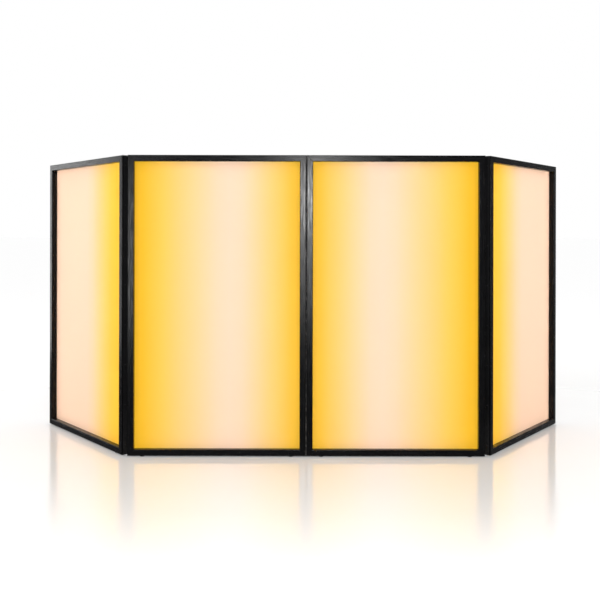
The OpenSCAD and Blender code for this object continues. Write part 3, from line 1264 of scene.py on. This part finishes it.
def studio_world(settings):
    """White behind the object and wherever the camera looks, dim in front and at the sides."""
    world = bpy.data.worlds.new("studio")
    world.use_nodes = True
    tree = world.node_tree
    looking = tree.nodes.new("ShaderNodeTexCoord").outputs["Generated"]
    behind = remap(tree, part_of(tree, looking, "Y"), 0.5, 0.85, settings.dim)
    above = remap(tree, part_of(tree, looking, "Z"), 0.2, 0.45, settings.dim, settings.above)
    room = calculate(tree, "MAXIMUM", behind, above)
    ray = tree.nodes.new("ShaderNodeLightPath").outputs
    through = blend(tree, ray["Is Transmission Ray"], room, settings.through)
    seen = blend(tree, ray["Is Camera Ray"], through, 1.0)
    feed(tree, tree.nodes["Background"], Color=(1, 1, 1, 1), Strength=seen)
    return world


class WELDSCREEN_OT_stage(bpy.types.Operator):
    """Sets out the floor, the light and the camera"""

    bl_idname = "weldscreen.stage"
    bl_label = "Stage"

    def execute(self, context):
        settings = context.scene.screen_stage
        scene = context.scene
        select_only()
        bpy.ops.mesh.primitive_plane_add(size=200)
        floor = settle(bpy.context.object, "studio_floor")
        floor.data.materials.append(polished_floor(settings))
        floor.visible_glossy = False
        floor.visible_transmission = False
        hard_pieces().objects.link(floor)
        scene.world = studio_world(settings)
        camera = bpy.data.objects.new("camera", bpy.data.cameras.new("camera"))
        scene.collection.objects.link(camera)
        camera.location = (settings.aside, -settings.back, settings.height)
        level = Matrix.Rotation(math.pi / 2, 4, "X") @ Matrix.Rotation(settings.roll, 4, "Z")
        camera.rotation_euler = level.to_euler()
        camera.data.sensor_width = 36
        camera.data.lens = settings.lens
        camera.data.shift_y = settings.shift
        scene.camera = camera
        for side in (-1, 1):
            place, target = (side * 4.6, -1.5, 1.3), (side * 0.9, 0, 0.6)
            softbox = add_softbox("side_softbox", place, target, wide=1.2, tall=2.0, watts=settings.sides)
            softbox.visible_glossy = False
        for name, across, height, tall, part in (
            ("key_strip", 0.12, 1.2, 0.45, 0.9),
            ("key_fade", 0.12, 0.65, 0.8, 0.3),
            ("left_strip", -1.42, 0.75, 1.3, 0.38),
        ):
            place, target = (across, -settings.lamp_back, height), (across / 2, 0, height)
            strip = add_softbox(name, place, target, settings.lamp_wide, tall, part * settings.key)
            strip.light_linking.receiver_collection = hard_pieces()
        place, target = (-3.9, 1.6, 0.9), (-1.1, 0.3, 0.7)
        add_softbox("left_panel", place, target, wide=0.8, tall=2.0, watts=settings.panel)
        scene.view_settings.view_transform = "Standard"
        return {"FINISHED"}


# ---- panel and registration ----


class WELDSCREEN_PT_pieces(bpy.types.Panel):
    """Lists the screen's settings and the steps that model it"""

    bl_idname = "WELDSCREEN_PT_pieces"
    bl_label = "Folding welding screen"
    bl_space_type = "VIEW_3D"
    bl_region_type = "UI"
    bl_category = "Screen"

    def draw(self, context):
        for attribute, group in SETTINGS.items():
            box = self.layout.box()
            box.label(text=group.__name__.replace("Settings", ""))
            for setting in group.__annotations__:
                box.prop(getattr(context.scene, attribute), setting)
        for operator in OPERATORS:
            self.layout.operator(operator.bl_idname)


OPERATORS = (
    WELDSCREEN_OT_stage,
    WELDSCREEN_OT_frame_tubes,
    WELDSCREEN_OT_tinted_sheets,
    WELDSCREEN_OT_clamp_strips,
    WELDSCREEN_OT_strip_screws,
    WELDSCREEN_OT_hinges,
    WELDSCREEN_OT_hinge_screws,
    WELDSCREEN_OT_glides,
)


def register():
    for group in SETTINGS.values():
        bpy.utils.register_class(group)
    for attribute, group in SETTINGS.items():
        setattr(bpy.types.Scene, attribute, bpy.props.PointerProperty(type=group))
    for operator in OPERATORS:
        bpy.utils.register_class(operator)
    bpy.utils.register_class(WELDSCREEN_PT_pieces)


def unregister():
    bpy.utils.unregister_class(WELDSCREEN_PT_pieces)
    for operator in reversed(OPERATORS):
        bpy.utils.unregister_class(operator)
    for attribute in SETTINGS:
        delattr(bpy.types.Scene, attribute)
    for group in reversed(SETTINGS.values()):
        bpy.utils.unregister_class(group)


def main():
    register()
    bpy.ops.weldscreen.stage()
    bpy.ops.weldscreen.frame_tubes()
    bpy.ops.weldscreen.tinted_sheets()
    bpy.ops.weldscreen.clamp_strips()
    bpy.ops.weldscreen.strip_screws()
    bpy.ops.weldscreen.hinges()
    bpy.ops.weldscreen.hinge_screws()
    bpy.ops.weldscreen.glides()


if __name__ == "__main__":
    main()
